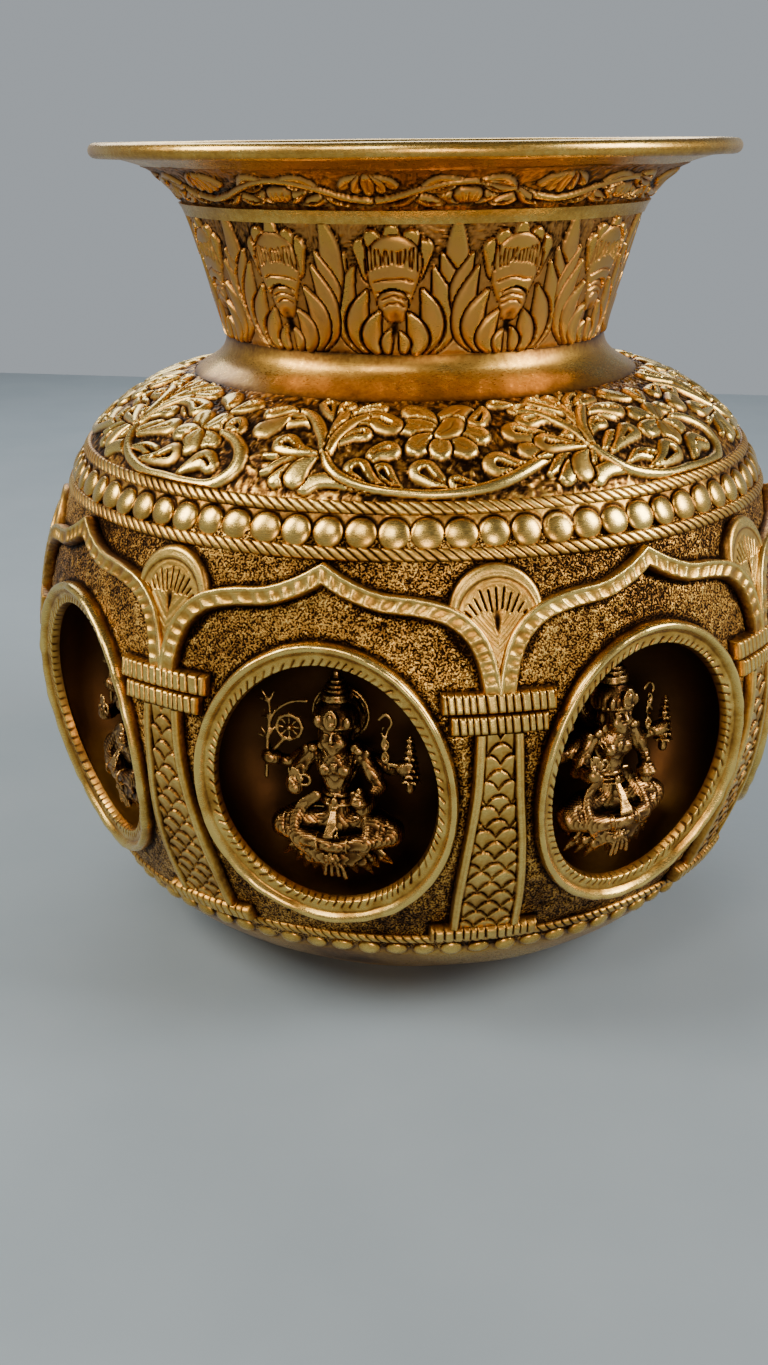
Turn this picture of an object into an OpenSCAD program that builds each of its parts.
// Brass kalash pot with eight oval niches, each holding a small cast figure.
// Origin: centre of the foot, on the surface that the pot stands on. +Z is up, and
// niche 1 faces -Y. All sizes are in millimetres.

/* [Pot] */
// Overall height, from the foot to the top of the rim
pot_h = 203; // [196:1:210]
// Largest diameter of the belly, without the applied ornament
belly_d = 200; // [196:1:206]
// Outside diameter of the rim
rim_d = 161; // [156:1:168]
// Thickness of the brass sheet
wall = 1.8; // [1.6:0.1:2.2]

/* [Niches] */
// Width of a niche window, straight across
window_w = 51; // [48:1:52]
// Height of a niche window, straight up
window_h = 60; // [56:1:62]
// Width of the moulded frame round a window
frame_w = 4.6; // [3.8:0.2:4.8]
// Height that a frame stands out from the belly
frame_t = 2.8; // [2:0.2:3.4]
// Depth of the bowl behind a window, from the inside of the belly
cup_depth = 25; // [22:1:27]
// Height of a cast figure, from its seat to its crown
figure_h = 47; // [42:1:48]

/* [Arcade] */
// Thickness of the applied pillars, arches and fans
relief_t = 2; // [1.4:0.2:2.6]
// Width of an arch strip
arch_w = 4; // [3.4:0.2:4.2]
// Radius of a fan's round top
fan_r = 8.6; // [8:0.2:8.8]

/* [Borders] */
// Number of domed beads in the shoulder band
band_beads = 78; // [60:1:80]
// Number of beads round the foot
foot_beads = 80; // [60:1:84]
// Radius of the two rope rings of the shoulder band
rope_r = 1.5; // [1.2:0.1:1.7]

/* [Hidden] */
BAYS = 8;
STEP = 360 / BAYS;
CUP_T = 1.2;       // thickness of the spun niche bowls
SCREW_R = 2;       // shank radius of the figure screws
SCREW_CLEAR = 0.2; // clearance round a shank in its bowl
FINE = 0.25;       // step along the outline, as a part of the way between two knots

rk = belly_d / 200;
zk = pot_h / 203;
bead_r = 1.8;
rim_r = rim_d / 2 - bead_r;
window_z = 68 * zk;
brass = "#b5893f";
polished = "#d3ab58";
dark_brass = "#6e4a22";

// Knots of the pot's outside, from the foot up to the rim.
OUTLINE = [
    [57 * rk, 0], [67 * rk, 5.8 * zk], [76.4 * rk, 12.6 * zk], [84 * rk, 21.5 * zk],
    [91.4 * rk, 37.5 * zk], [97.5 * rk, 56 * zk], [100 * rk, 75 * zk], [98.6 * rk, 93 * zk],
    [94.6 * rk, 109.5 * zk], [88.6 * rk, 125.4 * zk], [80.8 * rk, 136.2 * zk], [69 * rk, 143.8 * zk],
    [57.5 * rk, 147.8 * zk], [50.6 * rk, 151.4 * zk], [48.7 * rk, 157 * zk], [51.6 * rk, 169 * zk],
    [56.2 * rk, 184.5 * zk], [58.4 * rk, 189.5 * zk], [62 * rk, 194 * zk], [68 * rk, 197.6 * zk],
    [rim_r, pot_h - bead_r - wall / 2]
];

// Places along the outline, counted in knots, where one piece meets the next.
FOOT = 0;
PAN_TOP = 3;
BELLY_TOP = 9;
DOME_TOP = 12;
COLLAR_TOP = 14;
DRUM_TOP = 16.25;
RING_TOP = 17;
FRIEZE_TOP = 19;
RIM = 20;

// Places of the borders along the outline.
FOOT_ROPE = 3.3;
LOW_ROPE = 8.72;
HIGH_ROPE = 9.4;

// One span of a Catmull-Rom curve.
function span(a, b, c, d, t) =
    0.5 * (2 * b + (c - a) * t + (2 * a - 5 * b + 4 * c - d) * t * t + (3 * b - a - 3 * c + d) * t * t * t);

// Point of a smooth curve through the knots k, at place u.
function along(k, u) =
    let (n = len(k) - 1, i = min(floor(u), n - 1))
    span(k[max(i - 1, 0)], k[i], k[i + 1], k[min(i + 2, n)], u - i);

// Unit normal of that curve, to the right of its direction.
function normal(k, u) =
    let (n = len(k) - 1, e = 0.01, d = along(k, min(u + e, n)) - along(k, max(u - e, 0)))
    [d[1], -d[0]] / norm(d);

// Points of that curve from a to b, moved out by t.
function curve(k, a, b, t, fine = FINE) =
    let (n = ceil((b - a) / fine))
    [for (i = [0:n]) let (u = a + (b - a) * i / n) along(k, u) + t * normal(k, u)];

function backwards(list) = [for (i = [len(list) - 1:-1:0]) list[i]];

// Points of a half-round moulding of radius r, which lies on the outline at u.
function half_round(u, r) =
    let (c = along(OUTLINE, u), n = normal(OUTLINE, u), d = [-n[1], n[0]])
    concat(
        [c - r * d - 0.6 * n, c + r * d - 0.6 * n],
        [for (a = [0:20:180]) c + r * cos(a) * d + r * sin(a) * n]
    );

// Full turn of the sheet between a and b, from t0 to t1 outside the outline.
module layer(a, b, t0, t1) {
    rotate_extrude($fn = 96)
        polygon(concat(curve(OUTLINE, a, b, t1), backwards(curve(OUTLINE, a, b, t0))));
}

// Everything on the axis side of the outline between a and b, moved out by t.
module inside(a, b, t) {
    edge = curve(OUTLINE, a, b, t);
    rotate_extrude($fn = 96)
        polygon(concat(edge, [[0, edge[len(edge) - 1][1]], [0, edge[0][1]]]));
}

// Turns its children to bay i, or to the pillar after it at i + 0.5.
module bay(i) {
    rotate([0, 0, i * STEP]) children();
}

// Stands a drawing in x and z up, and drives it through the wall that faces -Y.
module through_wall(near = 60, far = 112) {
    translate([0, -near, 0])
        rotate([90, 0, 0])
            linear_extrude(height = far - near) children();
}

module oval(w, h) {
    polygon([for (i = [0:39]) [w / 2 * cos(i * 9), h / 2 * sin(i * 9)]]);
}

// ---- shells, from the foot up ----

module base_pan() {
    kick = 2;
    foot_in = 45 * rk;
    outer = curve(OUTLINE, FOOT, PAN_TOP, 0);
    inner = backwards(curve(OUTLINE, 0.25, PAN_TOP, -wall));
    floor_z = inner[len(inner) - 1][1];
    color(brass)
        rotate_extrude($fn = 96)
            polygon(concat(
                [[0, kick], [foot_in - 3, kick], [foot_in, 0]],
                outer, inner,
                [[foot_in, max(floor_z, wall)], [foot_in - 3, kick + wall], [0, kick + wall]]
            ));
}

module belly_shell() {
    color(brass)
        difference() {
            layer(PAN_TOP, BELLY_TOP, -wall, 0);
            for (i = [0:BAYS - 1])
                bay(i)
                    translate([0, 0, window_z]) through_wall() oval(window_w, window_h);
        }
}

module shoulder_dome() {
    color(brass) layer(BELLY_TOP, DOME_TOP, -wall, 0);
}

module neck_collar() {
    color(polished) layer(DOME_TOP, COLLAR_TOP, -wall, 0.8);
}

module neck_drum() {
    color(brass) layer(COLLAR_TOP, DRUM_TOP, -wall, 0);
}

module neck_ring() {
    color(polished) layer(DRUM_TOP, RING_TOP, -wall, 1);
}

module neck_frieze() {
    color(brass) layer(RING_TOP, FRIEZE_TOP, -wall, 0);
}

module rim_flange() {
    color(polished) layer(FRIEZE_TOP, RIM, -wall, 0);
}

// Rolled edge, which grips the flange.
module rim_bead() {
    c = along(OUTLINE, RIM) - wall / 2 * normal(OUTLINE, RIM);
    color(polished)
        difference() {
            rotate_extrude($fn = 96) translate([c[0], pot_h - bead_r]) circle(r = bead_r, $fn = 32);
            rim_flange();
        }
}

// ---- borders ----

module rope_ring(u, r) {
    color(brass)
        difference() {
            rotate_extrude($fn = 96) polygon(half_round(u, r));
            inside(floor(u) - 1, floor(u) + 2, 0);
        }
}

module foot_rope_ring() {
    rope_ring(FOOT_ROPE, 1.2);
}

module lower_rope_ring() {
    rope_ring(LOW_ROPE, rope_r);
}

module upper_rope_ring() {
    rope_ring(HIGH_ROPE, rope_r);
}

// A ring of domed buttons of radius r and height h, set flat on the outline at u.
module button_ring(u, count, r, h) {
    c = along(OUTLINE, u);
    n = normal(OUTLINE, u);
    ball = (r * r + h * h) / (2 * h);
    color(polished)
        for (i = [0:count - 1])
            rotate([0, 0, i * 360 / count])
                translate([0, -c[0], c[1]])
                    rotate([atan2(n[0], n[1]), 0, 0])
                        rotate_extrude($fn = 24)
                            intersection() {
                                translate([0, h - ball]) circle(r = ball, $fn = 96);
                                square([r, h]);
                            }
}

module band_bead_ring() {
    button_ring(BELLY_TOP, band_beads, 3.2 * rk, 1.5);
}

module foot_bead_ring() {
    button_ring(PAN_TOP, foot_beads, 2.5 * rk, 1.1);
}

// ---- arcade round the niches ----

module window_frame(i) {
    sleeve = 1.1;
    color(polished)
        bay(i)
            difference() {
                union() {
                    intersection() {
                        translate([0, 0, window_z])
                            through_wall() oval(window_w + 2 * frame_w, window_h + 2 * frame_w + 2);
                        layer(PAN_TOP, BELLY_TOP, 0, frame_t);
                    }
                    intersection() {
                        translate([0, 0, window_z]) through_wall() oval(window_w, window_h);
                        layer(PAN_TOP, BELLY_TOP, -wall, frame_t);
                    }
                }
                translate([0, 0, window_z])
                    through_wall() oval(window_w - 2 * sleeve, window_h - 2 * sleeve);
            }
}

BOWL_R = 32;      // inside radius of a bowl at its mouth
BOWL_CORNER = 14; // radius of the bend between a bowl's side and its flat back
back_y = 98 * rk - cup_depth; // distance of a bowl's flat back from the pot's axis

// Points of a bowl's section, moved out by t. The second number counts from its back.
function bowl_side(t) = concat(
    [[0, -t]],
    [for (a = [0:15:90])
        [BOWL_R - BOWL_CORNER, BOWL_CORNER] + (BOWL_CORNER + t) * [sin(a), -cos(a)]],
    [[BOWL_R + t, cup_depth + 8]]
);

// Spun bowl, trimmed to the inside of the belly, with a hole for the figure's screw.
module niche_cup(i) {
    color(polished)
        bay(i)
            difference() {
                intersection() {
                    translate([0, -back_y, window_z])
                        rotate([90, 0, 0])
                            rotate_extrude($fn = 96)
                                polygon(concat(bowl_side(CUP_T), backwards(bowl_side(0))));
                    inside(PAN_TOP, BELLY_TOP, -wall);
                }
                translate([0, 0, window_z])
                    through_wall(60, back_y + 5) circle(r = SCREW_R + SCREW_CLEAR, $fn = 32);
            }
}

// Knots of one side of a pillar's shaft, as half widths and heights.
SHAFT = [[8.3, 31], [8.2, 43], [7.2, 57], [5.9, 70], [5.3, 84]];

module pillar(i) {
    foot_z = 27 * zk;
    shaft_z = SHAFT[0][1] * zk;
    neck_z = SHAFT[len(SHAFT) - 1][1] * zk;
    bar_z = 88.5 * zk;
    top_z = 93.4 * zk;
    strip = 2.2;
    side = curve([for (p = SHAFT) [p[0] * rk, p[1] * zk]], 0, len(SHAFT) - 1, 0, 0.5);
    color(brass)
        bay(i + 0.5)
            union() {
                difference() {
                    intersection() {
                        through_wall()
                            polygon(concat(side, backwards([for (p = side) [-p[0], p[1]]])));
                        layer(PAN_TOP, BELLY_TOP, 0, relief_t);
                    }
                    intersection() {
                        through_wall()
                            polygon(concat(
                                [for (p = side) [p[0] - strip, p[1]]],
                                backwards([for (p = side) [strip - p[0], p[1]]])
                            ));
                        layer(PAN_TOP, BELLY_TOP, relief_t - 0.7, relief_t + 1);
                    }
                }
                intersection() {
                    through_wall()
                        union() {
                            translate([-13 * rk, foot_z]) square([26 * rk, shaft_z - foot_z]);
                            translate([-10.8 * rk, neck_z]) square([21.6 * rk, bar_z - neck_z]);
                            translate([-12.6 * rk, bar_z]) square([25.2 * rk, top_z - bar_z]);
                        }
                    layer(PAN_TOP, BELLY_TOP, 0, relief_t + 0.6);
                }
            }
}

// Knots of one half of an ogee arch, from the pillar up to the point.
ARCH = [[35.4, 92], [35.2, 98.6], [33.2, 104.4], [28, 108.8], [20, 111], [12, 112], [5.2, 114.4], [0, 117.2]];

// Points of that half, moved out by t, from the pillar's top to the middle of the arch.
function arch_side(t) =
    let (
        knots = [for (p = ARCH) [p[0] * rk, p[1] * zk]],
        last = len(knots) - 1,
        lean = abs(normal(knots, last)[1])
    )
    concat(
        [for (p = curve(knots, 0, last, t)) if (p[0] > 0.5 && p[1] > 94.5 * zk) p],
        [[0, knots[last][1] + t / lean]]
    );

// Outline of an arch strip, made wider by extra on each side.
module arch_outline(extra = 0) {
    outer = arch_side(arch_w / 2 + extra);
    inner = arch_side(-arch_w / 2 - extra);
    foot_z = 93.4 * zk;
    half = concat(backwards(inner), [[inner[0][0], foot_z], [outer[0][0], foot_z]], outer);
    polygon(concat(half, backwards([for (p = half) if (p[0] > 0) [-p[0], p[1]]])));
}

module arch(i) {
    color(brass)
        bay(i)
            intersection() {
                through_wall() arch_outline();
                layer(PAN_TOP, BELLY_TOP, 0, relief_t);
            }
}

// Fans that stand between the arches, over the pillars.
module fans() {
    centre = [0, 110.8 * zk];
    gap = 0.15;
    color(brass)
        for (i = [0:BAYS - 1])
            difference() {
                intersection() {
                    bay(i + 0.5)
                        through_wall()
                            polygon(concat(
                                [[0, 103 * zk]],
                                [for (a = [-24:12:204]) centre + fan_r * [cos(a) * rk, sin(a) * zk]]
                            ));
                    layer(PAN_TOP, BELLY_TOP, 0, relief_t - 0.4);
                }
                for (side = [0, 1])
                    bay(i + side) through_wall() arch_outline(gap);
            }
}

// ---- figures and their screws ----

figure_z = window_z + 1 - figure_h / 2;
figure_y = 84 * rk; // distance of a figure's middle from the pot's axis

// A bar from a to b, which tapers from ra to rb.
module limb(a, b, ra, rb) {
    d = b - a;
    length = norm(d);
    translate(a)
        rotate([0, acos(d[2] / length), atan2(d[1], d[0])])
            cylinder(r1 = ra, r2 = rb, h = length, $fn = 24);
}

// Knots of a figure's turned middle: seat, waist, chest, neck, head and crown.
TURNED = [
    [8.2, 0], [8.8, 1.6], [7.6, 3.4], [5.8, 5], [5.6, 9], [4.3, 14], [4.6, 18.5], [5.9, 23.5], [4.6, 27],
    [2.2, 28.6], [2.4, 29.6], [4, 31.6], [4.3, 34], [4.4, 36.4], [3.6, 40], [2.6, 42.6], [1.6, 45], [0.5, 47]
];

// A seated figure with a tall crown, drawn 47 mm high and facing -Y.
module seated_figure() {
    thigh = 4.1;
    knee = 14.8;
    rotate_extrude($fn = 48)
        polygon(concat([[0, 0]], curve(TURNED, 0, len(TURNED) - 1, 0, 1), [[0, 47]]));
    // crossed legs, as one spindle from knee to knee
    translate([-knee, -2.4, 6.4])
        rotate([0, 90, 0])
            rotate_extrude($fn = 32)
                polygon([for (a = [0:15:180]) [thigh * pow(sin(a), 0.6), knee - knee * cos(a)]]);
    for (side = [-1, 1]) {
        limb([side * 4, 0.3, 25], [side * 10.6, 0.6, 18], 2, 1.6);
        translate([side * 10.6, 0.6, 18]) sphere(r = 2.1, $fn = 32);
        limb([side * 10.4, 0.2, 17.8], [side * 8.2, -5.6, 14.6], 1.5, 1.2);
        limb([side * 4, 1.9, 24.4], [side * 14.4, 2.3, 25.2], 1.8, 1.5);
        limb([side * 13.6, 2.4, 24], [side * 15.8, 0.4, 32], 1.4, 1.2);
    }
    translate([0, 3.4, 32]) rotate([90, 0, 0]) cylinder(r = 7.8, h = 1.8, $fn = 48);
}

module figure(i) {
    k = figure_h / 47;
    hole = 6;
    color(dark_brass)
        bay(i)
            difference() {
                union() {
                    translate([0, -figure_y, figure_z]) scale(k) seated_figure();
                    // boss on the back, which rests on the bowl
                    translate([0, 0, window_z])
                        through_wall(back_y, figure_y) circle(r = 4.1, $fn = 40);
                }
                translate([0, 0, window_z])
                    through_wall(back_y - 2, back_y + hole) circle(r = SCREW_R, $fn = 32);
            }
}

washer_t = 1;
washer_r = 4.5;
washer_y = back_y - CUP_T; // outer face of a washer

module screw_washers() {
    color("#8c8c88")
        for (i = [0:BAYS - 1])
            bay(i)
                translate([0, 0, window_z])
                    through_wall(washer_y - washer_t, washer_y)
                        difference() {
                            circle(r = washer_r, $fn = 32);
                            circle(r = SCREW_R + SCREW_CLEAR, $fn = 32);
                        }
}

module figure_screws() {
    head_y = washer_y - washer_t;
    head_t = 2.6;
    color("#c9a24e")
        for (i = [0:BAYS - 1])
            bay(i)
                translate([0, 0, window_z])
                    difference() {
                        union() {
                            through_wall(head_y, back_y + 5) circle(r = SCREW_R, $fn = 32);
                            through_wall(head_y - head_t, head_y) circle(r = 3.6, $fn = 32);
                        }
                        through_wall(head_y - head_t - 1, head_y - head_t + 1.1) square([8, 0.9], center = true);
                    }
}

base_pan();
belly_shell();
shoulder_dome();
neck_collar();
neck_drum();
neck_ring();
neck_frieze();
rim_flange();
rim_bead();
foot_bead_ring();
foot_rope_ring();
lower_rope_ring();
band_bead_ring();
upper_rope_ring();
fans();
figure_screws();
screw_washers();
for (i = [0:BAYS - 1]) {
    window_frame(i);
    niche_cup(i);
    pillar(i);
    arch(i);
    figure(i);
}
